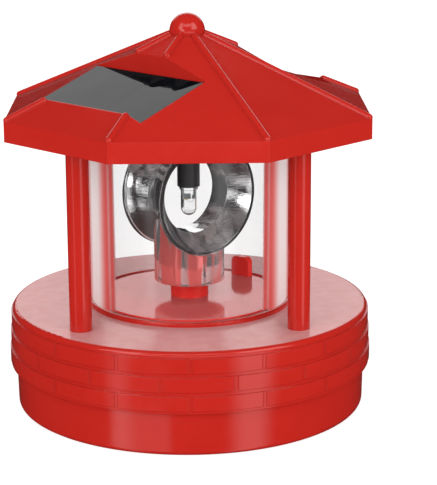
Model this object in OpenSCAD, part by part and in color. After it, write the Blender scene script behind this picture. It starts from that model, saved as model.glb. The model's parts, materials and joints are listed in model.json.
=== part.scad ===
// Solar lighthouse lamp room for the garden: round base, clear tube, turning reflector, eight-sided roof.
// Millimetres. +Z is up, the origin is the middle of the underside, and -Y is the front.

/* [Base] */
// Radius of the lower casing where the cover meets it
casing_r = 55.5; // [55.2:0.1:55.7]
// Height of the seam between the lower casing and the cover
seam_z = 13.8; // [13.4:0.1:14]
// Radius of the brick band at its lowest course
band_r = 57.4; // [57.2:0.1:57.8]
// Height of the deck's top face
deck_z = 32.5; // [32.5:0.1:33]
// Thickness of the deck
deck_t = 2.2; // [2:0.1:2.4]
// Bricks in a course
bricks = 16; // [12:2:20]
// Depth of the mortar joints
joint_depth = 0.2; // [0.15:0.05:0.4]
// Width of the mortar joints
joint_w = 1.1; // [0.8:0.1:1.4]

/* [Lamp room] */
// Outer radius of the clear tube
tube_r = 31.25; // [31:0.05:31.3]
// Wall of the clear tube
tube_wall = 2; // [1.6:0.1:2]
// Radius of a pillar
pillar_r = 3.4; // [3.2:0.1:3.6]
// Distance from the middle to a pillar
pillar_place_r = 46.5; // [46:0.1:47]
// Radius of the stem that the shaft comes out of
stem_r = 6; // [5.5:0.1:6.5]
// Height of the stem's top
stem_z = 46.5; // [46:0.1:46.8]

/* [Reflector] */
// Height of the dishes' axis
beam_z = 67.2; // [67:0.1:67.5]
// Angle of the dishes at rest, from the front towards the right
beam_angle = 36.5; // [0:0.5:180]
// Radius of the bowl of a dish
bowl_r = 20; // [19.5:0.1:20.2]
// Wall of the dishes and of the barrel between them
dish_wall = 0.9; // [0.8:0.05:1]
// Inner radius of the barrel
barrel_r = 12.3; // [12:0.1:12.5]
// Distance from the shaft to a dish's rim
rim_s = 9.95; // [9.5:0.05:10.2]
// Outer radius of the chromed collar
collar_r = 11.1; // [10.8:0.1:11.2]
// Height of the collar's lower edge
collar_z = 39.3; // [39:0.1:40]

/* [Roof] */
// Height of the lower edge of the eaves
eaves_z = 88.3; // [88:0.1:88.5]
// Half the width of the roof across its flat sides
eaves_apothem = 55.2; // [55:0.1:55.5]
// Height of the point where the roof's faces would meet
apex_z = 119.6; // [119.4:0.1:119.8]
// Drop of a roof face for each millimetre outwards
roof_slope = 0.4546; // [0.44:0.001:0.46]
// Radius of the beads along the ridges
bead_r = 1.1; // [0.9:0.1:1.2]
// Radius of the ball on top
ball_r = 5.52; // [5.2:0.02:5.8]

/* [Solar panels] */
// Distance from the middle to a pocket's upper edge
pocket_in = 15.8; // [15.6:0.1:16]
// Distance from the middle to a pocket's lower edge
pocket_out = 42.5; // [42.3:0.1:42.7]
// Width of a pocket
pocket_w = 46.6; // [46:0.1:46.8]
// Drop of a panel's face for each millimetre outwards
panel_slope = 0.318; // [0.31:0.001:0.325]
// Thickness of a panel
panel_t = 2; // [1.8:0.1:2.2]

/* [Gears] */
// Module of the teeth
gear_module = 0.8; // [0.8]
// Teeth of the gear on the shaft
output_teeth = 36; // [36]
// Teeth of the idler's large wheel
idler_teeth = 32; // [32]
// Teeth of the idler's small wheel and of the motor pinion
pinion_teeth = 10; // [10]

/* [Hidden] */

$fn = 96;
hull_fn = 32;
over = 1;

red = [0.77, 0.15, 0.12];
chrome = [0.85, 0.86, 0.88];
steel = [0.62, 0.63, 0.65];
brass = [0.80, 0.65, 0.30];
black = [0.10, 0.10, 0.11];
white = [0.92, 0.92, 0.90];
grey = [0.52, 0.52, 0.53];
clear = [0.85, 0.92, 0.95, 0.35];

// Base shells
floor_lift = 1;
floor_top = 3;
casing_wall = 2.4;
casing_draft = 0.3;
casing_in = casing_r - casing_wall;
foot_in = 51;
foot_round = 1.5;
spigot_out = casing_in + 0.6;
spigot_in = spigot_out - 1.8;
spigot_top = seam_z + 5.2;
cover_in = spigot_out + 0.3;
deck_under = deck_z - deck_t;
deck_round = 1.4;
courses = 3;
course_h = 5.7;
course_base = seam_z + 0.3;
course_step = 0.3;
middle_course_turn = 13.7;
ring_in = tube_r + 0.15;
ring_out = ring_in + 0.85;
ring_h = 1.5;
lip_round = 0.6;
groove_in = tube_r - tube_wall - 0.15;
tube_foot_z = deck_z + ring_h - 0.5;

// Screws that join the base shells
boss_places = [for (x = [-42.5, 42.5], y = [-17.6, 17.6]) [x, y]];
boss_r = 4;
boss_seat_z = 6;
base_screw_r = 1.25;

// Cell, its bay and its door
cell_y = 33;
cell_z = 12;
cell_r = 7.1;
cell_l = 49.5;
cell_tip = 1;
bay_half = 27.5;
bay_half_w = 7.7;
bay_wall = 1.6;
bay_top = 16;
ledge_top = 4.6;
door_t = 1.4;
door_half = 28.8;
door_half_w = 8.3;
ear_x = 31.5;
ear_r = 4;
door_post_r = 2.3;
door_gap = 0.2;
contact_t = 0.4;

// Circuit board and switch
board_y = -33;
board_z = 9;
board_t = 1.6;
board_size = [44, 24];
post_places = [for (x = [-19, 19], y = [-9.3, 9.3]) [x, board_y + y]];
switch_travel = 4;
slider_w = 4;
slider_d = 3.6;

// Drive
shaft_r = 1.5;
bush_r = 2.5;
running_gap = 0.03;
frame_z = 17;
frame_t = 2;
frame_top = frame_z + frame_t;
frame_posts = [[-21, -4], [12, 19.5], [10, -21]];
spacer_r = 3;
spacer_spigot = 1.8;
spacer_seat = 1.2;
mesh_out = gear_module * (output_teeth + pinion_teeth) / 2;
mesh_in = gear_module * (idler_teeth + pinion_teeth) / 2;
motor_turn = -50;
idler_at = [mesh_out, 0];
motor_at = idler_at + mesh_in * [cos(motor_turn), sin(motor_turn)];
motor_r = 7.5;
motor_screw_off = 5.2;
idler_pin_r = 1;
motor_shaft_r = 0.75;
tooth_shift = 0.42;
pressure_angle = 20;
backlash = 0.08;

// Reflector
barrel_out = barrel_r + dish_wall;
bowl_centre = 19.73;
bead_rim = 0.6;
rim_r = sqrt(pow(bowl_r + dish_wall, 2) - pow(bowl_centre - rim_s, 2));
lamp_hole_r = 3.85;
collar_wall = 1.2;
hub_boss_z = stem_z + 0.8;
spindle_top = 52.4;

// Lamp room and roof
pillar_angles = [45, 135, 225, 315];
pillar_bore = 1.8;
pillar_spigot = 2.3;
spigot_l = 2;
ceiling_z = eaves_z + 1.1;
ceiling_t = 2;
ceiling_top = ceiling_z + ceiling_t;
fascia_wall = 2;
roof_drop = 2.2;
corner = 1 / cos(22.5);
ball_z = 118.2;
ball_stem_r = 2;
panel_top_z = 112;
panel_gap = 0.15;
panel_tilt = atan(panel_slope);
panel_drop = panel_t / cos(panel_tilt);
tray_t = 1.6;
tray_rim = 1.6;
roof_boss_place = 44;
roof_boss_r = 3;
led_tip_z = 59.8;
led_r = 2.5;
led_flange_z = 68.3;
led_top_z = 69.3;
cup_z = 65.2;
sleeve_r = 3.55;
key_angle = 51;
key_w = 6.8;
key_r = 26.4;
key_t = 2.3;
key_h = 7.9;
key_round = 2;

// ---------- Shared shapes ----------

// Ring between two radii
module ring(outer, inner, z, h) {
    translate([0, 0, z]) difference() {
        cylinder(r = outer, h = h);
        translate([0, 0, -over]) cylinder(r = inner, h = h + 2 * over);
    }
}

// Cylinder standing at a point of the plan
module post(at, r, z0, z1) {
    translate([at[0], at[1], z0]) cylinder(r = r, h = z1 - z0);
}

// Screw with its head at z, the head on the side that dir points to
module screw(at, z, head_r, head_h, shank_r, shank_l, dir = -1) {
    slot_w = head_r / 3;
    translate([at[0], at[1], z]) mirror([0, 0, dir > 0 ? 1 : 0]) {
        difference() {
            translate([0, 0, -head_h]) cylinder(r = head_r, h = head_h);
            for (a = [0, 90]) rotate([0, 0, a])
                translate([-head_r * 0.6, -slot_w / 2, -head_h - over])
                    cube([head_r * 1.2, slot_w, over + head_h / 2]);
        }
        cylinder(r = shank_r, h = shank_l);
    }
}

// Point on a smooth curve through p1 and p2, with p0 and p3 as the points before and after
function curve_at(p0, p1, p2, p3, t) =
    0.5 * (2 * p1 + t * (p2 - p0) + t * t * (2 * p0 - 5 * p1 + 4 * p2 - p3)
           + t * t * t * (3 * p1 - p0 - 3 * p2 + p3));
function smooth_route(p, steps) = [
    for (i = [0 : len(p) - 2], k = [0 : steps - 1])
        curve_at(p[max(i - 1, 0)], p[i], p[i + 1], p[min(i + 2, len(p) - 1)], k / steps),
    p[len(p) - 1]];
function unit(v) = v / norm(v);
function along(p, i) = unit(p[min(i + 1, len(p) - 1)] - p[max(i - 1, 0)]);

// Round wire along a route; side_of is a direction that the route never runs in
module wire(route, r, sides = 8, side_of = [0.61, -0.57, 0.55]) {
    rings = [for (i = [0 : len(route) - 1])
        let (t = along(route, i), u = unit(cross(t, side_of)), v = cross(t, u))
            [for (k = [0 : sides - 1]) route[i] + r * (cos(360 * k / sides) * u + sin(360 * k / sides) * v)]];
    points = [for (ring = rings) each ring];
    last = (len(route) - 1) * sides;
    skin = [for (i = [0 : len(route) - 2], k = [0 : sides - 1])
        let (a = i * sides + k, b = i * sides + (k + 1) % sides)
            each [[a, b, b + sides], [a, b + sides, a + sides]]];
    ends = [for (k = [1 : sides - 2]) each [[0, k + 1, k], [last, last + k, last + k + 1]]];
    polyhedron(points = points, faces = [for (f = concat(skin, ends)) [f[2], f[1], f[0]]]);
}

// Involute wheel: half the angle that a tooth takes up at radius r
function involute(a) = tan(a) * 180 / PI - a;
function tooth_half(teeth, shift, r) =
    let (pitch = gear_module * teeth / 2, base = pitch * cos(pressure_angle),
         width = gear_module * (PI / 2 + 2 * shift * tan(pressure_angle)) - backlash,
         a = r > base ? acos(base / r) : 0)
    width / pitch * 90 / PI + involute(pressure_angle) - involute(a);
module wheel(teeth, shift, h, steps = 5) {
    root = gear_module * (teeth / 2 - 1.25 + shift);
    tip = gear_module * (teeth / 2 + 1 + shift);
    base = gear_module * teeth / 2 * cos(pressure_angle);
    start = max(root, base);
    flank = concat(root < base ? [root] : [], [for (i = [0 : steps]) start + (tip - start) * i / steps]);
    points = [for (n = [0 : teeth - 1])
        let (mid = 360 * n / teeth)
        each concat([for (r = flank) r * [cos(mid - tooth_half(teeth, shift, r)),
                                          sin(mid - tooth_half(teeth, shift, r))]],
                    [for (i = [len(flank) - 1 : -1 : 0])
                        let (r = flank[i]) r * [cos(mid + tooth_half(teeth, shift, r)),
                                                sin(mid + tooth_half(teeth, shift, r))]])];
    linear_extrude(h) polygon(points);
}

// ---------- Base ----------

module lower_casing() color(red) difference() {
    union() {
        rotate_extrude() union() {
            polygon([[casing_in, foot_round], [casing_r - casing_draft, foot_round],
                     [casing_r, seam_z], [casing_in, seam_z]]);
            translate([foot_in, 0]) square([casing_r - casing_draft - foot_round - foot_in, floor_top]);
            translate([casing_r - casing_draft - foot_round, foot_round]) circle(r = foot_round);
            translate([0, floor_lift]) square([casing_in + casing_wall / 2, floor_top - floor_lift]);
            translate([spigot_in, seam_z - 1.8]) square([spigot_out - spigot_in, spigot_top - seam_z + 1.8]);
        }
        bay_block(floor_lift, ledge_top);
        for (x = [-ear_x, ear_x]) post([x, cell_y], door_post_r, floor_lift, 9.5);
        for (at = boss_places) post(at, boss_r, floor_lift, 14);
        for (at = post_places) post(at, 2.2, floor_lift, board_z);
    }
    // Way in for the cell from below
    translate([-bay_half + 1.5, cell_y - bay_half_w + 0.4, 0])
        cube([2 * bay_half - 3, 2 * bay_half_w - 0.8, ledge_top + over]);
    door_outline(door_gap, -over, floor_lift + door_t);
    for (x = [-ear_x, ear_x]) post([x, cell_y], 1.05, 0, 9);
    // Screw holes and the slot of the switch
    for (at = boss_places) {
        post(at, 2.9, 0, boss_seat_z);
        post(at, 1.6, 0, 14 + over);
    }
    for (at = post_places) post(at, 0.9, floor_top + over, board_z + over);
    translate([-slider_w / 2 - switch_travel / 2 - 0.4, board_y - slider_d / 2 - 0.4, 0])
        cube([slider_w + switch_travel + 0.8, slider_d + 0.8, floor_top + over]);
}

// Outside of the cell's bay between two heights
module bay_block(z0, z1) {
    translate([-bay_half - bay_wall, cell_y - bay_half_w - bay_wall, z0])
        cube([2 * (bay_half + bay_wall), 2 * (bay_half_w + bay_wall), z1 - z0]);
}

// Plan of the cell's door, grown by gap
module door_outline(gap, z0, z1) {
    translate([-door_half - gap, cell_y - door_half_w - gap, z0])
        cube([2 * (door_half + gap), 2 * (door_half_w + gap), z1 - z0]);
    for (x = [-ear_x, ear_x]) post([x, cell_y], ear_r + gap, z0, z1);
}

module battery_door() color(red) difference() {
    door_outline(0, floor_lift, floor_lift + door_t);
    for (x = [-ear_x, ear_x]) {
        post([x, cell_y], 1.15, 0, floor_top);
        post([x, cell_y], 2.1, 0, floor_lift + door_t - 0.5);
    }
    // Finger grooves
    for (i = [-2 : 2]) translate([i * 3 - 0.5, cell_y - 6, 0]) cube([1, 12, floor_lift + 0.5]);
}

module door_screws() color(steel)
    for (x = [-ear_x, ear_x]) screw([x, cell_y], floor_lift + door_t - 0.5, 1.9, 0.8, 1, 6.5);

module base_screws() color(steel)
    for (at = boss_places) screw(at, boss_seat_z, 2.6, 1.8, base_screw_r, 17);

// Upright joints between the bricks; the middle course is turned so that its joints fall between the others
module mortar_joints() {
    for (c = [0 : courses - 1], n = [0 : bricks - 1])
        rotate([0, 0, -90 + n * 360 / bricks + (c == 1 ? middle_course_turn : 0)])
            translate([band_r - c * course_step - joint_depth, -joint_w / 2, course_base + c * course_h])
                cube([4, joint_w, course_h]);
}

// Step that the tube stands on, its outer edge rounded, with a shallow groove for the tube
module tube_step() difference() {
    rotate_extrude() {
        translate([0, deck_z - over]) square([ring_out, ring_h + over - lip_round]);
        translate([0, deck_z - over]) square([ring_out - lip_round, ring_h + over]);
        translate([ring_out - lip_round, deck_z + ring_h - lip_round]) circle(r = lip_round);
    }
    ring(ring_in, groove_in, tube_foot_z, ring_h);
}

// Round-topped tab that stands just inside the tube
module key() rotate([0, 0, key_angle - 90]) translate([0, key_r + key_t, deck_z]) rotate([90, 0, 0])
    linear_extrude(key_t) {
        translate([-key_w / 2, 0]) square([key_w, key_h - key_round]);
        translate([key_round - key_w / 2, 0]) square([key_w - 2 * key_round, key_h]);
        for (s = [-1, 1]) translate([s * (key_w / 2 - key_round), key_h - key_round]) circle(r = key_round);
    }

module upper_cover() color(red) difference() {
    union() {
        difference() {
            rotate_extrude() union() {
                // Core of the band and the deck
                polygon([[cover_in, seam_z], [band_r - joint_depth, seam_z],
                         [band_r - joint_depth, course_base],
                         [deck_edge_r(), course_base + courses * course_h],
                         [deck_edge_r(), deck_z - deck_round], [cover_in, deck_z - deck_round]]);
                translate([0, deck_under]) square([deck_edge_r() - deck_round, deck_t]);
                translate([cover_in, deck_under - 1.5])
                    square([deck_edge_r() - cover_in, deck_z - deck_round - deck_under + 1.5]);
                translate([deck_edge_r() - deck_round, deck_z - deck_round]) circle(r = deck_round);
                // Courses of brick, each a little further in than the one below
                for (c = [0 : courses - 1])
                    translate([cover_in, course_base + c * course_h + joint_w / 2])
                        square([band_r - c * course_step - cover_in, course_h - joint_w]);
            }
            mortar_joints();
        }
        tube_step();
        post([0, 0], stem_r, deck_under, stem_z);
        key();
        for (at = boss_places) post(at, 3.6, 14, deck_under + over);
        post(idler_at, 2.4, 28.8, deck_under + over);
    }
    post([0, 0], bush_r, deck_under - over, stem_z + over);
    for (a = pillar_angles) post(pillar_place_r * [cos(a), sin(a)], pillar_spigot, deck_under - over, deck_z + over);
    for (at = boss_places) post(at, base_screw_r, 14 - over, 26);
    for (at = frame_posts) post(at, spacer_spigot, deck_under - over, deck_under + spacer_seat);
    post(idler_at, idler_pin_r, 28, 30.8);
}
function deck_edge_r() = band_r - 2 * course_step - joint_depth - 0.3;

// ---------- Cell ----------

module cell_holder() color(black) difference() {
    bay_block(ledge_top, bay_top);
    translate([-bay_half, cell_y - bay_half_w, ledge_top - over])
        cube([2 * bay_half, 2 * bay_half_w, bay_top]);
}

module battery_cell() color([0.20, 0.55, 0.30]) {
    x0 = bay_half - contact_t - cell_tip - cell_l;
    translate([x0, cell_y, cell_z]) rotate([0, 90, 0]) {
        cylinder(r = cell_r, h = cell_l - 0.8);
        cylinder(r = cell_r - 0.8, h = cell_l);
        cylinder(r = 2.6, h = cell_l + cell_tip);
    }
}

module contact_plate(x) {
    translate([x, cell_y - 5, cell_z - 6.4]) cube([contact_t, 10, 11.4]);
}
module contact_positive() color(brass) contact_plate(bay_half - contact_t);
module contact_negative() color(brass) contact_plate(-bay_half);

module battery_spring() color(steel) {
    turns = 3;
    steps = 12;
    wire_r = 0.3;
    x0 = -bay_half + contact_t + wire_r;
    x1 = bay_half - contact_t - cell_tip - cell_l - wire_r;
    wire([for (i = [0 : turns * steps])
            let (t = i / (turns * steps), r = 4.6 - 1.8 * t, a = 360 * turns * t)
                [x0 + (x1 - x0) * t, cell_y + r * cos(a), cell_z + r * sin(a)]],
         wire_r, 6, [1, 0, 0]);
}

// ---------- Circuit board and switch ----------

module circuit_board() color([0.10, 0.40, 0.22]) difference() {
    translate([-board_size[0] / 2, board_y - board_size[1] / 2, board_z])
        cube([board_size[0], board_size[1], board_t]);
    for (at = post_places) post(at, 1.1, board_z - over, board_z + board_t + over);
}

module board_screws() color(steel)
    for (at = post_places) screw(at, board_z + board_t, 1.8, 1.1, 0.9, 5.2, 1);

module controller_chip() color(black) {
    translate([-4, board_y + 3, board_z + board_t]) cube([5, 4, 1.5]);
    for (i = [0 : 3], y = [2, 7]) translate([-3.6 + i * 1.27, board_y + y, board_z + board_t]) cube([0.4, 1, 0.3]);
}

module boost_inductor() color([0.25, 0.25, 0.27])
    translate([10, board_y - 3, board_z + board_t]) {
        cylinder(r = 3.4, h = 1);
        cylinder(r = 2.4, h = 4);
        translate([0, 0, 4]) cylinder(r = 3.4, h = 1);
    }

module storage_capacitor() color([0.15, 0.20, 0.45])
    translate([-11, board_y - 4, board_z + board_t]) difference() {
        cylinder(r = 3.2, h = 7);
        translate([0, 0, 1]) ring(4, 2.95, 0, 0.6);
    }

module switch_body() color(steel) translate([0, board_y, 0]) difference() {
    translate([-6.5, -3.4, 4.2]) cube([13, 6.8, board_z - 4.2]);
    translate([-5.4, -2.7, 5]) cube([10.8, 5.4, 3.2]);
    translate([-slider_w / 2 - switch_travel / 2 - 0.3, -slider_d / 2 - 0.3, 4])
        cube([slider_w + switch_travel + 0.6, slider_d + 0.6, 2]);
}

module switch_slider() color(black) translate([-switch_travel / 2, board_y, 0]) difference() {
    union() {
        translate([-slider_w / 2, -slider_d / 2, 0.4]) cube([slider_w, slider_d, 5]);
        translate([-slider_w / 2 - 1, -2.4, 5.2]) cube([slider_w + 2, 4.8, 2.4]);
    }
    for (i = [-1 : 1]) translate([i * 1.2 - 0.25, -slider_d, 0]) cube([0.5, 2 * slider_d, 0.7]);
}

// ---------- Drive ----------

module drive_frame() color(black) difference() {
    translate([0, 0, frame_z]) linear_extrude(frame_t) hull() {
        for (at = frame_posts) translate(at) circle(r = 4, $fn = hull_fn);
        translate(motor_at) circle(r = 8.5, $fn = hull_fn);
    }
    post([0, 0], bush_r, frame_z - over, frame_top + over);
    post(idler_at, idler_pin_r, frame_z - over, frame_top + over);
    post(motor_at, 2.6, frame_z - over, frame_top + over);
    for (at = frame_posts) post(at, 1.1, frame_z - over, frame_top + over);
    for (s = [-1, 1]) post(motor_at + [0, s * motor_screw_off], 0.95, frame_z - over, frame_top + over);
}

// Turned spacers that hang the plate from the deck
module frame_spacers() color(brass) for (at = frame_posts) difference() {
    union() {
        post(at, spacer_r, frame_top, deck_under);
        post(at, spacer_spigot, deck_under - over, deck_under + spacer_seat);
    }
    post(at, 0.9, frame_top - over, 27);
}

module frame_screws() color(steel)
    for (at = frame_posts) screw(at, frame_z, 2, 1.2, 0.9, 9);

module motor_can() color(steel) difference() {
    union() {
        post(motor_at, motor_r, 4.7, frame_z);
        post(motor_at, 2.5, frame_z - over, frame_z + 1.2);
    }
    post(motor_at, motor_r - 0.6, 4, frame_z - 0.9);
    post(motor_at, motor_shaft_r + running_gap, 4, frame_top);
    for (s = [-1, 1]) post(motor_at + [0, s * motor_screw_off], 0.8, frame_z - 2, frame_z + over);
}

module motor_end_cap() color(white) {
    difference() {
        union() {
            post(motor_at, motor_r, 3.9, 4.7);
            post(motor_at, motor_r - 0.65, 4.7, 6.4);
        }
        post(motor_at, motor_shaft_r + running_gap, 4.9, 7);
    }
}

module motor_screws() color(steel)
    for (s = [-1, 1]) screw(motor_at + [0, s * motor_screw_off], frame_top, 1.5, 0.9, 0.8, 2.8, 1);

module motor_shaft() color(steel) post(motor_at, motor_shaft_r, 5.1, 24.2);

module motor_armature() color([0.72, 0.42, 0.20]) difference() {
    union() {
        post(motor_at, 5.6, 8.4, 13.6);
        post(motor_at, 2, 7, 14.6);
    }
    post(motor_at, motor_shaft_r, 6, 16);
    for (a = [0, 120, 240]) translate([motor_at[0], motor_at[1], 8]) rotate([0, 0, a])
        translate([3.4, -0.6, 0]) cube([3, 1.2, 7]);
}

module motor_pinion() color(brass) difference() {
    translate([motor_at[0], motor_at[1], 20]) rotate([0, 0, motor_turn + 180 + 180 / pinion_teeth])
        wheel(pinion_teeth, tooth_shift, 4.2);
    post(motor_at, motor_shaft_r, 20 - over, 24.2 + over);
}

module idler_pin() color(steel) post(idler_at, idler_pin_r, frame_z, 30.8);

module idler_gear() color(white) difference() {
    translate([idler_at[0], idler_at[1], 0]) {
        translate([0, 0, 20.8]) rotate([0, 0, motor_turn]) wheel(idler_teeth, -tooth_shift, 2.8);
        translate([0, 0, 23.6]) rotate([0, 0, 180 + 180 / pinion_teeth])
            wheel(pinion_teeth, tooth_shift, 4.8);
        post([0, 0], 2.6, frame_top + 0.2, 20.8);
    }
    post(idler_at, idler_pin_r + running_gap, frame_top, 30);
}

module output_gear() color(white) difference() {
    union() {
        translate([0, 0, 25]) wheel(output_teeth, -tooth_shift, 3);
        post([0, 0], 3.4, 20.2, 25);
    }
    post([0, 0], shaft_r, 19, 29);
}

module spindle() color(steel) difference() {
    post([0, 0], shaft_r, 15.4, spindle_top);
    ring(shaft_r + over, 1.1, 15.8, 0.6);
}

module spindle_clip() color(steel) difference() {
    ring(3, 1.1, 15.8, 0.6);
    translate([0, -0.9, 15]) cube([5, 1.8, 2]);
}

module lower_bush() color(brass) {
    ring(bush_r, shaft_r + running_gap, frame_z - 0.3, frame_t + 0.3);
    ring(3.4, shaft_r + running_gap, frame_top, 0.9);
}

module upper_bush() color(brass) {
    ring(bush_r, shaft_r + running_gap, stem_z - 6, 6);
    ring(3.4, shaft_r + running_gap, stem_z, 0.6);
}

// ---------- Turning reflector ----------

// Turns a shape made about +Z so that +Z points along the beam, at the beam's height
module on_beam(turn) {
    translate([0, 0, beam_z]) rotate([0, 0, beam_angle + turn]) rotate([90, 0, 0]) children();
}

module dish_profile() {
    intersection() {
        difference() {
            translate([0, bowl_centre]) circle(r = bowl_r + dish_wall);
            translate([0, bowl_centre]) circle(r = bowl_r);
        }
        translate([barrel_r, 0]) square([bowl_r, rim_s]);
    }
    translate([barrel_r, 0]) square([dish_wall, bowl_centre - sqrt(pow(bowl_r, 2) - pow(barrel_r, 2))]);
    translate([rim_r - bead_rim, rim_s - bead_rim]) circle(r = bead_rim);
}

module reflector_half(turn) difference() {
    on_beam(turn) rotate_extrude() dish_profile();
    post([0, 0], lamp_hole_r, beam_z, beam_z + 30);
}
module reflector_front() color(chrome) reflector_half(0);
module reflector_rear() color(chrome) reflector_half(180);

// Everything inside the dishes' outer skin, and what lies in front of their rims
module dish_envelope() {
    for (turn = [0, 180]) on_beam(turn) rotate_extrude() union() {
        square([barrel_out, rim_s + 4]);
        intersection() {
            translate([0, bowl_centre]) circle(r = bowl_r + dish_wall);
            square([bowl_r, rim_s]);
        }
        translate([0, rim_s - bead_rim]) square([rim_r, bead_rim + 4]);
        translate([rim_r - bead_rim, rim_s - bead_rim]) circle(r = bead_rim);
    }
}

module rotor_hub() color(chrome) difference() {
    union() {
        ring(collar_r, collar_r - collar_wall, collar_z, beam_z - collar_z);
        post([0, 0], collar_r - collar_wall / 2, 49.2, 51);
        post([0, 0], 3.4, hub_boss_z, 53.2);
    }
    post([0, 0], shaft_r, hub_boss_z - over, spindle_top);
    dish_envelope();
}

// ---------- Lamp room ----------

module lamp_tube() color(clear) ring(tube_r, tube_r - tube_wall, tube_foot_z, ceiling_z - tube_foot_z);

module pillar(angle, screwed) {
    at = pillar_place_r * [cos(angle), sin(angle)];
    difference() {
        union() {
            post(at, pillar_r, deck_z, ceiling_z);
            post(at, pillar_spigot, deck_z - spigot_l, ceiling_z + spigot_l);
        }
        post(at, screwed ? 1.2 : pillar_bore, deck_z - spigot_l - over, ceiling_z + spigot_l + over);
    }
}
module pillar_front_left() color(red) pillar(225, true);
module pillar_front_right() color(red) pillar(315, true);
module pillar_rear_left() color(red) pillar(135, false);
module pillar_rear_right() color(red) pillar(45, false);

module pillar_screws() color(steel)
    for (a = [225, 315]) {
        at = pillar_place_r * [cos(a), sin(a)];
        screw(at, deck_under, 3, 1.6, 1.2, 11);
        screw(at, ceiling_top, 3, 1.6, 1.2, 11, 1);
    }

module ceiling_plate() color(grey) difference() {
    union() {
        translate([0, 0, ceiling_z]) rotate([0, 0, 22.5])
            cylinder(r = (eaves_apothem - fascia_wall - 0.2) * corner, h = ceiling_t, $fn = 8);
        ring(ring_out, ring_in, ceiling_z - ring_h, ring_h + over);
    }
    post([0, 0], sleeve_r + 0.05, ceiling_z - over, ceiling_top + over);
    for (a = pillar_angles)
        post(pillar_place_r * [cos(a), sin(a)], pillar_spigot, ceiling_z - over, ceiling_top + over);
    for (a = [0 : 90 : 270])
        post(roof_boss_place * [cos(a), sin(a)], 1.5, ceiling_z - over, ceiling_top + over);
}

module ceiling_screws() color(steel)
    for (a = [0 : 90 : 270]) screw(roof_boss_place * [cos(a), sin(a)], ceiling_z, 2.6, 0.9, 1.2, 6.4);

module led_sleeve() color(black) {
    ring(sleeve_r, 2, led_top_z, ceiling_top - led_top_z);
    ring(5.5, 2, ceiling_top, 1.2);
}

module lead_frame() {
    for (x = [-1.27, 1.27]) translate([x - 0.25, -0.25, cup_z + 0.8]) cube([0.5, 0.5, 84.4 - cup_z - 0.8]);
    translate([-1.5, -0.25, cup_z]) cube([1.9, 0.5, 1.7]);
    translate([0.7, -0.25, cup_z]) cube([0.82, 0.5, 1.2]);
}
module lamp_leads() color(steel) lead_frame();

module led_lamp() color(clear) difference() {
    union() {
        translate([0, 0, led_tip_z + led_r]) sphere(r = led_r);
        post([0, 0], led_r, led_tip_z + led_r, led_top_z);
        post([0, 0], 2.9, led_flange_z, led_top_z);
    }
    lead_frame();
}

// ---------- Roof ----------

// Eight-sided block under an eight-sided pyramid: half width across flats, and drop below the roof's faces
module roof_solid(apothem, drop, from_z) {
    top = apex_z - drop;
    blunt = 0.5;
    cone_z = from_z - over;
    rotate([0, 0, 22.5]) intersection() {
        translate([0, 0, from_z]) cylinder(r = apothem * corner, h = top - from_z, $fn = 8);
        translate([0, 0, cone_z])
            cylinder(r1 = (top - cone_z) / roof_slope * corner, r2 = blunt / roof_slope * corner,
                     h = top - blunt - cone_z, $fn = 8);
    }
}

// Side view of a pocket: distance outwards, height
function panel_z(d) = panel_top_z - panel_slope * d;
module across(points, w) {
    rotate([90, 0, 0]) translate([0, 0, -w / 2]) linear_extrude(w) polygon(points);
}
module tray() {
    a = pocket_in - tray_rim;
    b = pocket_out + tray_rim;
    depth = panel_drop + tray_t;
    across([[a, panel_z(a) - depth], [b, panel_z(b) - depth], [b, apex_z], [a, apex_z]],
           pocket_w + 2 * tray_rim);
}
module pocket() {
    across([[pocket_in, panel_z(pocket_in) - panel_drop], [pocket_out, panel_z(pocket_out) - panel_drop],
            [pocket_out, apex_z + 5], [pocket_in, apex_z + 5]], pocket_w);
    post([(pocket_in + pocket_out) / 2, 0], 1.5, 90, 110);
}

// Bead along a ridge between two distances from the middle, its ends round
module ridge_bead(from_r, to_r) {
    fall = roof_slope / corner;
    lift = 0.1;
    l = (to_r - from_r) * sqrt(1 + fall * fall);
    translate([from_r, 0, apex_z - fall * from_r - lift]) rotate([0, 90 + atan(fall), 0])
        rotate_extrude() intersection() {
            union() {
                circle(r = bead_r);
                translate([0, l]) circle(r = bead_r);
                translate([-bead_r, 0]) square([2 * bead_r, l]);
            }
            translate([0, -bead_r]) square([bead_r, l + 2 * bead_r]);
        }
}

module roof_shell() color(red) difference() {
    union() {
        difference() {
            roof_solid(eaves_apothem, 0, eaves_z);
            roof_solid(eaves_apothem - fascia_wall, roof_drop, eaves_z - over);
        }
        for (a = [45, 225]) intersection() {
            roof_solid(eaves_apothem, 0, eaves_z);
            rotate([0, 0, a]) tray();
        }
        post([0, 0], 7.5, 109.5, 115);
        for (a = [0 : 90 : 270]) intersection() {
            rotate([0, 0, a]) post([roof_boss_place, 0], roof_boss_r, ceiling_top, 100);
            roof_solid(eaves_apothem, 0, eaves_z);
        }
        for (a = [112.5, 157.5, 292.5, 337.5]) rotate([0, 0, a]) ridge_bead(6, eaves_apothem * corner - 1.1);
        for (a = [22.5, 67.5, 202.5, 247.5]) rotate([0, 0, a]) {
            ridge_bead(6, pocket_in * corner - bead_r);
            ridge_bead(pocket_out * corner + bead_r - 0.2, eaves_apothem * corner - 1.1);
        }
    }
    for (a = [45, 225]) rotate([0, 0, a]) pocket();
    for (a = [0 : 90 : 270]) post(roof_boss_place * [cos(a), sin(a)], 1.2, ceiling_top - over, 96.5);
    translate([0, 0, ball_z]) sphere(r = ball_r);
    post([0, 0], ball_stem_r, 105, ball_z);
}

module finial_ball() color(red) {
    translate([0, 0, ball_z]) sphere(r = ball_r);
    post([0, 0], ball_stem_r, 108.5, ball_z);
}

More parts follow.
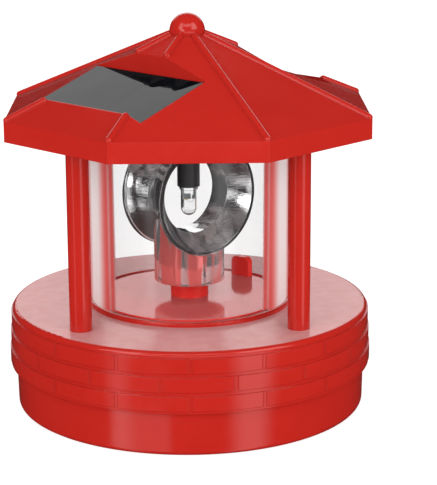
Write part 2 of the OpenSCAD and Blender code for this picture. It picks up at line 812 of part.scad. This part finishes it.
module solar_panel(angle) {
    start = pocket_in + panel_gap + panel_t * sin(panel_tilt);
    long = (pocket_out - panel_gap - start) / cos(panel_tilt);
    rotate([0, 0, angle]) translate([start, 0, panel_z(start)])
        rotate([0, panel_tilt, 0]) translate([0, -pocket_w / 2 + panel_gap, -panel_t])
            cube([long, pocket_w - 2 * panel_gap, panel_t]);
}
module solar_panel_front() color(black) solar_panel(225);
module solar_panel_rear() color(black) solar_panel(45);

// ---------- Wiring ----------

cable_r = 0.7;
route_steps = 4;
duct_left = pillar_place_r * [cos(135), sin(135)];
duct_right = pillar_place_r * [cos(45), sin(45)];
duct_side = 0.85;
board_top = board_z + board_t;

// Straight run down through a pillar, shifted sideways by off
function down_duct(at, off) =
    [for (z = [92.6, 90, 86, 60, 34, 30.5, 28.5]) [at[0] + off, at[1], z]];
// Last two points of a wire soldered to the board at (x, y)
function to_board(x, y) = [for (h = [2.8, 0.4]) [x, y, board_top + h]];

module panel_lead_front() color(black) wire(smooth_route(concat(
    [[-20.6, -20.6, 100.3], [-20.6, -20.6, 97], [-25, -12, 93.8], [-32.5, 6, 93.4],
     [duct_left[0] - duct_side, 24, 94], [duct_left[0] - duct_side, 29, 93.9]],
    down_duct(duct_left, -duct_side),
    [[-37, 25, 23], [-38, 8, 19], [-35, -10, 15.5], [-25, -23, 14]],
    to_board(-19.5, -28.5)), route_steps), cable_r);

module panel_lead_rear() color(black) wire(smooth_route(concat(
    [[20.6, 20.6, 100.3], [20.6, 20.6, 97], [12, 27, 94], [-6, 28, 93.4], [-22, 18, 94],
     [-30, 19, 94.2], [duct_left[0] + duct_side, 25, 94.2], [duct_left[0] + duct_side, 29, 94]],
    down_duct(duct_left, duct_side),
    [[-33, 22, 23.5], [-33, 8, 19], [-30, -8, 16], [-23, -19, 15]],
    to_board(-15.5, -26.5)), route_steps), cable_r);

module lamp_cable() color(black) wire(smooth_route(concat(
    [[0, 0, 84.9], [0, 0, 92], [2.5, 2.5, 95.5], [14, 14, 94.4], [26, 27, 94]],
    down_duct(duct_right, 0),
    [[26, 31, 23.5], [8, 33, 22.5], [-12, 31, 22.5], [-26, 20, 20], [-27, 4, 17], [-24, -10, 15.5],
     [-16, -19, 14.6]],
    to_board(-11.5, -25)), route_steps), cable_r);

module motor_cable() color(black) wire(smooth_route(concat(
    [[motor_at[0] - 7.2, motor_at[1] - 3.5, 4.3], [20, -18.2, 5], [17.5, -18.8, 8], [16, -20, 12.4]],
    to_board(14.5, -26)), route_steps), cable_r);

module battery_cable() color(black) wire(smooth_route(concat(
    [[-bay_half - bay_wall - 0.8, cell_y - 8, 13], [-29, 20, 10], [-24, 8, 6], [-19, -6, 5],
     [-13.5, -16, 7], [-8, -18.8, 12]],
    to_board(-6.5, -24)), route_steps), cable_r);

lower_casing();
upper_cover();
battery_door();
door_screws();
base_screws();
cell_holder();
battery_cell();
battery_spring();
contact_positive();
contact_negative();
circuit_board();
controller_chip();
boost_inductor();
storage_capacitor();
board_screws();
switch_body();
switch_slider();
drive_frame();
frame_spacers();
frame_screws();
motor_can();
motor_end_cap();
motor_screws();
motor_shaft();
motor_armature();
motor_pinion();
idler_pin();
idler_gear();
output_gear();
spindle();
spindle_clip();
lower_bush();
upper_bush();
rotor_hub();
reflector_front();
reflector_rear();
lamp_tube();
pillar_front_left();
pillar_front_right();
pillar_rear_left();
pillar_rear_right();
pillar_screws();
ceiling_plate();
ceiling_screws();
led_sleeve();
led_lamp();
lamp_leads();
roof_shell();
finial_ball();
solar_panel_front();
solar_panel_rear();
panel_lead_front();
panel_lead_rear();
lamp_cable();
motor_cable();
battery_cable();
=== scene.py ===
import json
import math

import bmesh
import bpy
from mathutils import Euler, Matrix, Vector


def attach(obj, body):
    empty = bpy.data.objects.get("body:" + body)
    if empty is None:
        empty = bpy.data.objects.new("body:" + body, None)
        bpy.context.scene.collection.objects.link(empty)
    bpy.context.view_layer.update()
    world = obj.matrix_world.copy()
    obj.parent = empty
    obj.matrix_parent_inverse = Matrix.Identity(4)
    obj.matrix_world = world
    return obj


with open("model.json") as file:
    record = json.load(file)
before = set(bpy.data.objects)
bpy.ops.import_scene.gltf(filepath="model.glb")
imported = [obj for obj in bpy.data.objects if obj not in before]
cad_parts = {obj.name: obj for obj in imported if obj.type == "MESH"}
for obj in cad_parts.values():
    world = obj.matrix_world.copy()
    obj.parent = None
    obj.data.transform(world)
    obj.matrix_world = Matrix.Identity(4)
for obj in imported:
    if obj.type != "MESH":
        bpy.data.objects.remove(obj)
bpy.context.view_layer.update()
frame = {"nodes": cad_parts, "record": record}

nodes = frame["nodes"]


# ---------- Node trees ----------

class Graph:
    """Short ways to add nodes to a tree. Inputs are numbers, tuples or output sockets."""

    def __init__(self, tree):
        self.tree = tree
        tree.nodes.clear()

    def put(self, socket, value):
        if isinstance(value, bpy.types.NodeSocket):
            self.tree.links.new(value, socket)
        elif value is not None:
            if isinstance(value, tuple) and len(value) == 3 and socket.type == "RGBA":
                value = value + (1.0,)
            socket.default_value = value

    def add(self, kind, ins=None, out=0, **settings):
        node = self.tree.nodes.new("ShaderNode" + kind)
        for key, value in settings.items():
            setattr(node, key, value)
        for key, value in (ins or {}).items():
            self.put(node.inputs[key], value)
        return node.outputs[out]

    def math(self, op, a, b=None, c=None):
        return self.add("Math", {i: v for i, v in enumerate((a, b, c)) if v is not None}, operation=op)

    def ramp(self, value, low, high, at_low=0.0, at_high=1.0, smooth=True):
        kind = "SMOOTHSTEP" if smooth else "LINEAR"
        return self.add("MapRange", {0: value, 1: low, 2: high, 3: at_low, 4: at_high}, interpolation_type=kind)

    def mix(self, share, a, b):
        """Colour mix."""
        return self.add("Mix", {0: share, 6: a, 7: b}, out=2, data_type="RGBA")

    def blend(self, share, a, b):
        """Number mix."""
        return self.add("Mix", {0: share, 2: a, 3: b}, data_type="FLOAT")

    def noise(self, where, scale, detail=2.0, rough=0.5, distort=0.0):
        return self.add("TexNoise", {"Vector": where, "Scale": scale, "Detail": detail, "Roughness": rough,
                                     "Distortion": distort})

    def split(self, vector):
        """The x, y and z of a vector."""
        node = self.tree.nodes.new("ShaderNodeSeparateXYZ")
        self.put(node.inputs[0], vector)
        return node.outputs

    def light_path(self):
        return self.tree.nodes.new("ShaderNodeLightPath").outputs

    def either(self, *switches):
        total = switches[0]
        for s in switches[1:]:
            total = self.math("MAXIMUM", total, s)
        return total


def place(graph):
    return graph.add("TexCoord", out="Object")


def stretched(graph, where, scale):
    return graph.add("VectorMath", {0: where, 1: scale}, operation="MULTIPLY")


def bump(graph, height, distance, strength=1.0, normal=None):
    return graph.add("Bump", {"Strength": strength, "Distance": distance, "Height": height, "Normal": normal})


def finish_material(name, build):
    mat = bpy.data.materials.new(name)
    mat.use_nodes = True
    g = Graph(mat.node_tree)
    surface = build(g)
    out = mat.node_tree.nodes.new("ShaderNodeOutputMaterial")
    mat.node_tree.links.new(surface, out.inputs["Surface"])
    return mat


def edge_normal(g, radius):
    return g.add("Bevel", {"Radius": radius}, samples=6)


# ---------- Finishes ----------

DECK_LOW, DECK_HIGH = 0.0314, 0.0350
TUBE_BORE = 0.0318
CEILING = 0.086
RED = (0.590, 0.0215, 0.0135)
RED_DEEP = (0.562, 0.0190, 0.0118)
RED_INSIDE = (0.980, 0.0480, 0.0380)
# Painted sheen colours: the pale that the deck's slanted reflection is painted in, outside and inside the tube
PAINTED_SHEEN = (0.980, 0.500, 0.490)
PAINTED_SHEEN_INSIDE = (1.000, 0.800, 0.790)


def mirrored_ray(g, path):
    """1 for a glossy reflection; Is Glossy Ray alone is also 1 for light that was bent by glass."""
    return g.math("MULTIPLY", path["Is Glossy Ray"], path["Is Reflection Ray"])


def between(g, value, low, low_soft, high_soft, high):
    """1 between low and high, with soft edges inside them, and 0 outside."""
    return g.math("MULTIPLY", g.ramp(value, low, low_soft), g.ramp(value, high_soft, high, 1.0, 0.0))


def on_deck(g, where):
    """1 on the level top of the deck, which is moulded satin and carries a painted sheen, and 0 on the rest."""
    level = between(g, g.split(where)[2], DECK_LOW, 0.0320, 0.0345, DECK_HIGH)
    upward = g.split(g.add("NewGeometry", out="Normal"))[2]
    return g.math("MULTIPLY", level, g.ramp(upward, 0.86, 0.97))


def in_tube(g, where):
    """1 inside the clear tube and 0 outside."""
    reach = g.add("VectorMath", {0: stretched(g, where, (1.0, 1.0, 0.0))}, out="Value", operation="LENGTH")
    tall = between(g, g.split(where)[2], 0.0325, 0.0335, 0.084, CEILING)
    return g.math("MULTIPLY", g.ramp(reach, 0.0311, TUBE_BORE, 1.0, 0.0), tall)


def red_plastic(g):
    where = place(g)
    tone = g.ramp(g.noise(where, 38.0, 3.0), 0.3, 0.7)
    deck, inside = on_deck(g, where), in_tube(g, where)
    facing = g.add("LayerWeight", {"Blend": 0.5}, out="Facing")
    slant = g.ramp(facing, 0.35, 0.72)
    # Painted sheen: the deck is written paler at a slant, for the bright room it reflects there. Little light gets
    # into the tube, so the red there is written brighter, as painted light
    painted_sheen = g.math("MULTIPLY", g.math("MULTIPLY", deck, slant), g.ramp(g.noise(where, 240.0), 0.2, 0.8, 0.62, 0.76))
    painted_sheen = g.math("MULTIPLY", painted_sheen, g.blend(inside, 1.0, 0.22))
    red = g.mix(inside, g.mix(tone, RED, RED_DEEP), RED_INSIDE)
    colour = g.mix(painted_sheen, red, g.mix(inside, PAINTED_SHEEN, PAINTED_SHEEN_INSIDE))
    # Painted reflection: to mirrored rays the plastic is written grey, and the deck pale, so the plated dishes
    # show them so. The collar mirrors the deck at a low slant, where it stays red
    in_mirror = mirrored_ray(g, g.light_path())
    grey = g.mix(g.math("MULTIPLY", deck, g.ramp(facing, 0.37, 0.46)), (0.055, 0.055, 0.057), (0.72, 0.72, 0.73))
    still_red = g.math("MULTIPLY", deck, g.ramp(facing, 0.60, 0.70, 0.0, 0.9))
    greyed = g.math("MULTIPLY", in_mirror, g.math("SUBTRACT", 0.97, still_red))
    gloss = g.ramp(g.noise(where, 420.0, 3.0), 0.3, 0.7, 0.105, 0.150)
    peel = g.noise(where, 1500.0, 2.0)
    height = g.math("ADD", g.noise(where, 95.0, 2.0), g.math("MULTIPLY", peel, 0.05))
    return g.add("BsdfPrincipled", {
        "Base Color": g.mix(greyed, colour, grey),
        "Roughness": g.blend(deck, gloss, g.blend(inside, 0.27, 0.09)), "IOR": 1.5,
        "Normal": bump(g, height, 0.00006, 1.0, edge_normal(g, 0.00032))})


def chromed(g):
    where = place(g)
    height = g.math("ADD", g.noise(where, 150.0, 1.0), g.math("MULTIPLY", g.noise(where, 700.0, 2.0), 0.08))
    wiped = g.noise(stretched(g, where, (1.0, 1.0, 9.0)), 420.0, 3.0)
    height = g.math("ADD", height, g.math("MULTIPLY", wiped, 0.12))
    return g.add("BsdfPrincipled", {
        "Base Color": g.mix(wiped, (0.80, 0.80, 0.81), (0.92, 0.92, 0.93)), "Metallic": 0.96,
        "Roughness": g.ramp(g.noise(where, 600.0, 3.0), 0.3, 0.75, 0.02, 0.06),
        "Normal": bump(g, height, 0.00035, 1.0, edge_normal(g, 0.0002))})


def chromed_collar(g):
    """Plated like the dishes, with upright red, less metallic streaks: a painted reflection of the red plastic
    around it.
    """
    where = place(g)
    streaks = g.ramp(g.noise(stretched(g, where, (1.0, 1.0, 0.12)), 260.0, 2.0), 0.40, 0.50)
    painted_red_streaks = g.math("MULTIPLY", streaks, 0.85)
    metal = g.ramp(painted_red_streaks, 0.0, 1.0, 0.80, 0.30)
    # Painted reflection: to mirrored rays the collar is written pale and hardly metallic, so the deck shows it
    # pale
    in_deck = mirrored_ray(g, g.light_path())
    ripple = g.noise(stretched(g, where, (1.0, 1.0, 0.3)), 260.0, 1.0)
    return g.add("BsdfPrincipled", {
        "Base Color": g.mix(in_deck, g.mix(painted_red_streaks, (1.0, 0.95, 0.95), (0.92, 0.095, 0.080)), (1.0, 0.80, 0.80)),
        "Metallic": g.blend(in_deck, metal, 0.1),
        "Roughness": g.ramp(g.noise(where, 600.0, 3.0), 0.3, 0.75, 0.03, 0.09),
        "Normal": bump(g, ripple, 0.00012, 1.0, edge_normal(g, 0.0002))})


def lets_light_by(g, glass):
    path = g.light_path()
    by = g.either(path["Is Shadow Ray"], path["Is Diffuse Ray"], mirrored_ray(g, path))
    return g.add("MixShader", {0: by, 1: glass, 2: g.add("BsdfTransparent", {"Color": (0.98, 0.98, 0.98)})})


def clear_tube(g):
    """Clear wall. Near its edges it is written opaque, red and then pale: a painted refraction of the pillars and
    the bright room as seen bent through the wall.
    """
    where = place(g)
    height = g.noise(stretched(g, where, (1.0, 1.0, 0.25)), 60.0, 1.0)
    facing = g.add("LayerWeight", {"Blend": 0.5}, out="Facing")
    waver = g.ramp(g.noise(stretched(g, where, (1.0, 1.0, 0.1)), 70.0), 0.3, 0.7, -0.008, 0.008)
    facing = g.math("ADD", facing, waver)
    painted_edge_band = g.ramp(facing, 0.412, 0.455)
    painted_refraction = g.mix(g.ramp(facing, 0.470, 0.635), (0.90, 0.160, 0.150), (0.98, 0.880, 0.870))
    painted_refraction = g.mix(g.ramp(facing, 0.775, 0.905), painted_refraction, (0.88, 0.420, 0.410))
    return lets_light_by(g, g.add("BsdfPrincipled", {
        "Base Color": g.mix(painted_edge_band, (0.905, 0.900, 0.900), painted_refraction), "Roughness": g.blend(painted_edge_band, 0.0, 0.4),
        "Transmission Weight": g.math("SUBTRACT", 1.0, g.math("MULTIPLY", painted_edge_band, 0.97)), "IOR": 1.0,
        "Coat Weight": g.ramp(painted_edge_band, 0.0, 1.0, 0.8, 0.05), "Coat Roughness": 0.02, "Coat IOR": 1.45,
        "Coat Normal": bump(g, height, 0.00004)}))


def clear_lens(g):
    where = place(g)
    return lets_light_by(g, g.add("BsdfPrincipled", {
        "Base Color": (0.97, 0.98, 0.98), "Transmission Weight": 1.0, "Roughness": 0.0, "IOR": 1.5,
        "Normal": bump(g, g.noise(where, 400.0, 1.0), 0.00001)}))


def black_plastic(g):
    where = place(g)
    grain = g.noise(where, 2600.0, 3.0)
    return g.add("BsdfPrincipled", {
        "Base Color": g.mix(g.noise(where, 160.0), (0.050, 0.050, 0.052), (0.066, 0.066, 0.068)),
        "Roughness": g.ramp(g.noise(where, 500.0), 0.3, 0.7, 0.28, 0.38),
        "Normal": bump(g, grain, 0.00003, 1.0, edge_normal(g, 0.0002))})


def grey_plastic(g):
    """Plain grey. To mirrored rays it is written as uneven dark and pale streaks, a painted reflection that the
    dishes show from below.
    """
    where = place(g)
    even = g.mix(g.noise(where, 90.0), (0.400, 0.400, 0.405), (0.440, 0.440, 0.445))
    patches = g.ramp(g.noise(stretched(g, where, (1.0, 0.6, 1.0)), 120.0, 4.0, 0.65, 0.8), 0.40, 0.60)
    painted_mirror_streaks = g.mix(patches, (0.050, 0.066, 0.068), (0.850, 1.000, 1.000))
    return g.add("BsdfPrincipled", {
        "Base Color": g.mix(mirrored_ray(g, g.light_path()), even, painted_mirror_streaks),
        "Roughness": g.ramp(g.noise(where, 600.0), 0.3, 0.7, 0.30, 0.42),
        "Normal": bump(g, g.noise(where, 2200.0, 2.0), 0.00003)})


def steel(g):
    where = place(g)
    brushed = g.noise(stretched(g, where, (1.0, 1.0, 14.0)), 900.0, 3.0)
    return g.add("BsdfPrincipled", {
        "Base Color": g.mix(g.noise(where, 220.0), (0.50, 0.51, 0.53), (0.62, 0.62, 0.63)), "Metallic": 1.0,
        "Roughness": g.ramp(brushed, 0.3, 0.7, 0.26, 0.42), "Normal": bump(g, brushed, 0.00002)})


def brass(g):
    where = place(g)
    turned = g.noise(stretched(g, where, (1.0, 1.0, 9.0)), 1100.0, 2.0)
    return g.add("BsdfPrincipled", {
        "Base Color": g.mix(g.noise(where, 300.0), (0.66, 0.46, 0.17), (0.76, 0.57, 0.24)), "Metallic": 1.0,
        "Roughness": g.ramp(turned, 0.3, 0.7, 0.2, 0.36), "Normal": bump(g, turned, 0.00002)})


def acetal(g):
    where = place(g)
    return g.add("BsdfPrincipled", {
        "Base Color": g.mix(g.noise(where, 120.0), (0.76, 0.76, 0.72), (0.82, 0.82, 0.79)),
        "Roughness": g.ramp(g.noise(where, 700.0), 0.3, 0.7, 0.32, 0.45), "Subsurface Weight": 0.1,
        "Subsurface Scale": 0.001, "Normal": bump(g, g.noise(where, 1800.0, 2.0), 0.00002)})


def enamelled_wire(g):
    where = place(g)
    strands = g.add("TexWave", {"Vector": where, "Scale": 900.0, "Distortion": 1.2, "Detail": 1.0}, out=1,
                    bands_direction="Z")
    return g.add("BsdfPrincipled", {
        "Base Color": g.mix(strands, (0.30, 0.09, 0.025), (0.62, 0.25, 0.08)), "Metallic": 0.85,
        "Roughness": g.ramp(g.noise(where, 900.0), 0.3, 0.7, 0.22, 0.34),
        "Normal": bump(g, strands, 0.0001)})


def board_green(g):
    where = place(g)
    tracks = g.add("TexBrick", {"Vector": where, "Scale": 260.0, "Mortar Size": 0.06,
                                "Color1": (0.012, 0.115, 0.040), "Color2": (0.014, 0.130, 0.045),
                                "Mortar": (0.030, 0.200, 0.075)}, offset=0.5)
    return g.add("BsdfPrincipled", {
        "Base Color": tracks, "Roughness": g.ramp(g.noise(where, 800.0), 0.3, 0.7, 0.25, 0.4),
        "Normal": bump(g, g.noise(where, 1200.0), 0.00002)})


def chip_black(g):
    where = place(g)
    return g.add("BsdfPrincipled", {
        "Base Color": g.mix(g.noise(where, 2500.0, 3.0), (0.018, 0.018, 0.018), (0.034, 0.034, 0.033)),
        "Roughness": 0.55, "Normal": bump(g, g.noise(where, 5000.0, 3.0), 0.00002)})


def sleeve(deep, pale, crinkle):
    def build(g):
        where = place(g)
        folds = g.noise(stretched(g, where, (1.0, 1.0, 0.3)), crinkle, 2.0)
        return g.add("BsdfPrincipled", {
            "Base Color": g.mix(g.noise(where, 90.0), deep, pale), "Roughness": g.ramp(folds, 0.3, 0.7, 0.16, 0.3),
            "IOR": 1.5, "Normal": bump(g, folds, 0.00006)})
    return build


def cable_skin(g):
    where = place(g)
    return g.add("BsdfPrincipled", {
        "Base Color": g.mix(g.noise(where, 350.0), (0.020, 0.020, 0.022), (0.032, 0.032, 0.034)),
        "Roughness": g.ramp(g.noise(where, 900.0), 0.3, 0.7, 0.3, 0.45),
        "Normal": bump(g, g.noise(where, 2200.0), 0.00003)})


PANEL_TILT = math.atan(0.318)
ROOF_TOP = (0.0, 0.0, 0.112)
CELL_PITCH, FINGER_PITCH = 0.0115, 0.0016


def from_middle(g, value, pitch):
    """How far a value is from the middle of its stripe, as a share of the pitch."""
    share = g.math("FRACT", g.math("MULTIPLY", value, 1 / pitch))
    return g.math("ABSOLUTE", g.math("SUBTRACT", share, 0.5))


def solar_resin(turn):
    """Dark cells under glossy resin. The pattern lies in the panel's own plane."""
    def build(g):
        where = place(g)
        turned = g.add("VectorRotate", {"Vector": where, "Center": ROOF_TOP, "Axis": (0, 0, 1),
                                        "Angle": -math.radians(turn)}, rotation_type="AXIS_ANGLE")
        flat = g.add("VectorRotate", {"Vector": turned, "Center": ROOF_TOP, "Axis": (0, 1, 0),
                                      "Angle": -PANEL_TILT}, rotation_type="AXIS_ANGLE")
        down, side = g.split(flat)[:2]
        # Cells side by side with a bus bar along each, and fine fingers across
        cell = from_middle(g, side, CELL_PITCH)
        gap = g.ramp(cell, 0.478, 0.487)
        bus = g.ramp(cell, 0.02, 0.035, 1.0, 0.0)
        finger = from_middle(g, down, FINGER_PITCH)
        fingers = g.math("MULTIPLY", g.ramp(finger, 0.03, 0.06, 1.0, 0.0), 0.35)
        grain = g.add("TexVoronoi", {"Vector": flat, "Scale": 420.0}, out="Color")
        silicon = g.mix(g.add("SeparateColor", {0: grain}), (0.0022, 0.0025, 0.0036), (0.0042, 0.0048, 0.0070))
        colour = g.mix(g.either(g.math("MULTIPLY", bus, 0.5), fingers), silicon, (0.014, 0.014, 0.015))
        colour = g.mix(gap, colour, (0.0016, 0.0016, 0.0018))
        # The resin is slightly uneven
        swell = g.noise(stretched(g, flat, (0.6, 1.0, 1.0)), 55.0, 2.0)
        height = g.math("MULTIPLY", swell, 0.35)
        # Along the upper edge the resin creeps up, wider towards one end, with a wavy border
        across = g.math("MULTIPLY", side, 1000.0)
        width = g.math("MULTIPLY", g.ramp(across, -16.0, 8.0, 0.0, 6.2), g.ramp(across, 17.0, 24.5, 1.0, 0.0))
        wave = g.math("SINE", g.math("MULTIPLY", g.math("SUBTRACT", across, 5.4), 2 * math.pi / 10.5))
        width = g.math("ADD", width, g.math("MULTIPLY", wave, g.ramp(across, 0.0, 6.0, 0.0, 1.2)))
        border = g.math("MULTIPLY", g.math("ADD", width, 17.2), 0.001)
        crept = g.math("MULTIPLY", g.math("MAXIMUM", g.math("SUBTRACT", border, down), 0.0), 0.17)
        height = g.math("ADD", g.math("MULTIPLY", height, 0.0006), crept)
        return g.add("BsdfPrincipled", {
            "Base Color": colour, "IOR": 1.33, "Roughness": g.ramp(g.noise(flat, 260.0), 0.3, 0.7, 0.035, 0.07),
            "Normal": bump(g, height, 1.0)})
    return build


def lit_die(g):
    where = place(g)
    return g.add("BsdfPrincipled", {
        "Base Color": g.mix(g.noise(where, 3000.0), (0.80, 0.62, 0.12), (0.88, 0.72, 0.22)), "Roughness": 0.35})


FINISHES = {
    "red_gloss": red_plastic, "clear_tube": clear_tube, "clear_lens": clear_lens, "chrome": chromed,
    "grey_moulded": grey_plastic, "black_moulded": black_plastic, "steel": steel, "brass": brass,
    "white_moulded": acetal, "copper_winding": enamelled_wire, "green_board": board_green,
    "black_chip": chip_black,
    "capacitor_sleeve": sleeve((0.010, 0.020, 0.085), (0.014, 0.028, 0.120), 500.0),
    "cell_sleeve": sleeve((0.020, 0.150, 0.045), (0.026, 0.185, 0.060), 260.0), "cable": cable_skin}

mats = {slot: finish_material(slot, build) for slot, build in FINISHES.items()}
own = {"rotor_hub": finish_material("chrome_collar", chromed_collar),
       "solar_panel_front": finish_material("solar_face_front", solar_resin(225)),
       "solar_panel_rear": finish_material("solar_face_rear", solar_resin(45))}
slot_of = {s["node"]: s["material_slot"] for s in frame["record"]["subparts"]}


def wear(obj, mat):
    obj.data.materials.clear()
    obj.data.materials.append(mat)


for name, obj in nodes.items():
    wear(obj, own.get(name) or mats[slot_of[name]])


# ---------- Extra pieces ----------

def piece(name, bm, mat, body, smooth=True):
    mesh = bpy.data.meshes.new(name)
    bmesh.ops.recalc_face_normals(bm, faces=bm.faces)
    bm.to_mesh(mesh)
    bm.free()
    obj = bpy.data.objects.new(name, mesh)
    bpy.context.scene.collection.objects.link(obj)
    if smooth:
        mesh.shade_smooth()
    wear(obj, mat)
    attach(obj, body)
    return obj


def swept(points, radius, sides=8):
    """Round wire through points, with closed ends."""
    bm = bmesh.new()
    rings = []
    for i, p in enumerate(points):
        ahead = (points[min(i + 1, len(points) - 1)] - points[max(i - 1, 0)]).normalized()
        u = ahead.cross(Vector((0.61, -0.57, 0.55))).normalized()
        v = ahead.cross(u)
        rings.append([bm.verts.new(p + radius * (math.cos(2 * math.pi * k / sides) * u
                                                 + math.sin(2 * math.pi * k / sides) * v)) for k in range(sides)])
    for a, b in zip(rings, rings[1:]):
        for k in range(sides):
            bm.faces.new((a[k], a[(k + 1) % sides], b[(k + 1) % sides], b[k]))
    bm.faces.new(rings[0])
    bm.faces.new(rings[-1])
    return bm


# The lamp's die in its cup and its bond wire, cast in the lens
DIE_X = -0.00055
die_at = Matrix.Translation((DIE_X, 0, 0.06508)) @ Matrix.Diagonal((0.0009, 0.0004, 0.00024, 1))
bm = bmesh.new()
bmesh.ops.create_cube(bm, size=1.0, matrix=die_at)
bmesh.ops.bevel(bm, geom=bm.edges[:], offset=0.00004, segments=2, profile=0.5, affect="EDGES")
piece("led_die", bm, finish_material("led_die", lit_die), "housing", smooth=False)
arch = []
for i in range(13):
    t = i / 12
    arch.append(Vector((DIE_X + 0.00165 * t, 0, 0.06496 - 0.0009 * math.sin(math.pi * t) ** 0.8 + 0.00024 * t)))
piece("led_bond_wire", swept(arch, 0.00004, 6), mats["brass"], "housing")

# Winding of the board's inductor
TURNS, STEPS = 8, 24
COIL_R, COIL_H = 0.00275, 0.0026
coil_foot = Vector((0.010, -0.036, 0.01198))
coil = []
for i in range(TURNS * STEPS + 1):
    a = 2 * math.pi * i / STEPS
    coil.append(coil_foot + Vector((COIL_R * math.cos(a), COIL_R * math.sin(a), COIL_H * i / (TURNS * STEPS))))
piece("inductor_winding", swept(coil, 0.00017, 6), mats["copper_winding"], "housing")


# ---------- Floor, light and camera ----------

def floor_finish(g):
    path = g.light_path()
    pale = g.mix(g.noise(place(g), 30.0), (0.800, 0.800, 0.800), (0.808, 0.808, 0.806))
    paper = g.add("BsdfDiffuse", {"Color": pale})
    seen = g.add("AddShader", {0: g.add("Emission", {"Color": (1, 1, 1), "Strength": 0.78}),
                               1: g.add("BsdfDiffuse", {"Color": (0.5, 0.5, 0.5)})})
    by_eye = g.either(path["Is Camera Ray"], path["Is Transmission Ray"])
    floor_look = g.add("MixShader", {0: by_eye, 1: paper, 2: seen})
    return g.add("MixShader", {0: mirrored_ray(g, path), 1: floor_look, 2: g.add("BsdfTransparent")})


bm = bmesh.new()
bmesh.ops.create_grid(bm, x_segments=8, y_segments=8, size=3.0)
mesh = bpy.data.meshes.new("floor")
bm.to_mesh(mesh)
bm.free()
floor = bpy.data.objects.new("floor", mesh)
floor.location = (0, 0, -0.00005)
bpy.context.scene.collection.objects.link(floor)
wear(floor, finish_material("floor", floor_finish))

world = bpy.data.worlds.new("studio")
world.use_nodes = True
bpy.context.scene.world = world
g = Graph(world.node_tree)
x, y, z = g.split(g.add("TexCoord", out="Generated"))
DEGREES = 180 / math.pi
around = g.math("MULTIPLY", g.math("ARCTAN2", x, g.math("MULTIPLY", y, -1.0)), DEGREES)
from_back = g.math("MULTIPLY", g.math("ARCTAN2", x, y), DEGREES)
height = g.math("MULTIPLY", g.math("ARCSINE", z), DEGREES)

# Bright panels that only reflections see, all in degrees: the middle to the right of the front, half the
# width, the lower and upper edge, the strength, and how soft the edges are
FRONT_PANELS = [
    (-46.0, 14.0, 12.0, 50.0, 2.6, 4.0), (50.0, 18.0, 12.0, 50.0, 2.8, 4.0),
    (-46.0, 6.0, -60.0, -4.0, 0.85, 6.0), (40.0, 11.0, -60.0, -4.0, 1.5, 8.0),
    (-32.5, 12.2, 1.0, 14.0, 3.0, 1.0), (-33.0, 20.0, -36.0, -21.0, 0.75, 2.0),
    (0.0, 26.0, 33.0, 49.0, 2.4, 6.0), (6.0, 24.0, -8.5, 1.0, 1.5, 4.0)]
# These are measured from the back, so that they aren't cut where the angle jumps
BACK_PANELS = [(0.0, 18.0, 26.0, 36.5, 1.15, 1.0), (0.0, 31.5, 11.0, 26.0, 1.42, 1.0)]


def softbox(angle, middle, half, low, high, strength, soft):
    off = g.math("SUBTRACT", angle, middle)
    wide = g.ramp(g.math("ABSOLUTE", off), half - soft, half + soft, strength, 0.0)
    tall = g.math("MULTIPLY", g.ramp(height, low - soft / 2, low + soft / 2),
                  g.ramp(height, high - soft / 2, high + soft / 2, 1.0, 0.0))
    return g.math("MULTIPLY", wide, tall)


mirrored = 0.02
for angle, panels in ((around, FRONT_PANELS), (from_back, BACK_PANELS)):
    for panel in panels:
        mirrored = g.math("ADD", mirrored, softbox(angle, *panel))
path = g.light_path()
# What the dishes mirror of each other is paler than what they mirror at once
again = g.ramp(path["Glossy Depth"], 1.4, 1.6)
mirrored = g.blend(again, mirrored, g.math("ADD", g.math("MULTIPLY", mirrored, 0.5), 0.12))
plain = g.blend(g.either(path["Is Camera Ray"], path["Is Transmission Ray"]), 0.80, 1.0)
out = world.node_tree.nodes.new("ShaderNodeOutputWorld")
g.put(out.inputs["Surface"], g.add("Background", {
    "Color": (1, 1, 1), "Strength": g.blend(mirrored_ray(g, path), plain, mirrored)}))


def lamp(name, at, size, power):
    data = bpy.data.lights.new(name, "AREA")
    data.shape = "DISK"
    data.size = size
    data.energy = power
    obj = bpy.data.objects.new(name, data)
    obj.location = at
    obj.rotation_euler = (Vector((0, 0, 0.05)) - Vector(at)).to_track_quat("-Z", "Y").to_euler()
    obj.visible_glossy = False
    obj.visible_transmission = False
    bpy.context.scene.collection.objects.link(obj)


lamp("key", (-0.85, -1.25, 0.60), 1.2, 6.2)
lamp("fill", (1.05, -1.1, 0.42), 1.2, 6.6)

camera_data = bpy.data.cameras.new("camera")
camera_data.lens = 135.44
camera_data.sensor_width = 36.0
camera_data.sensor_fit = "AUTO"
camera_data.clip_start = 0.05
camera_data.shift_x = 0.06065
camera = bpy.data.objects.new("camera", camera_data)
stand = Matrix.Translation((0, -0.5596, 0.19796))
tilt = Euler((math.radians(75.261), 0, 0)).to_matrix().to_4x4()
camera.matrix_world = stand @ tilt @ Matrix.Rotation(math.radians(-0.516), 4, "Z")
bpy.context.scene.collection.objects.link(camera)
bpy.context.scene.camera = camera
bpy.context.scene.view_settings.view_transform = "Standard"
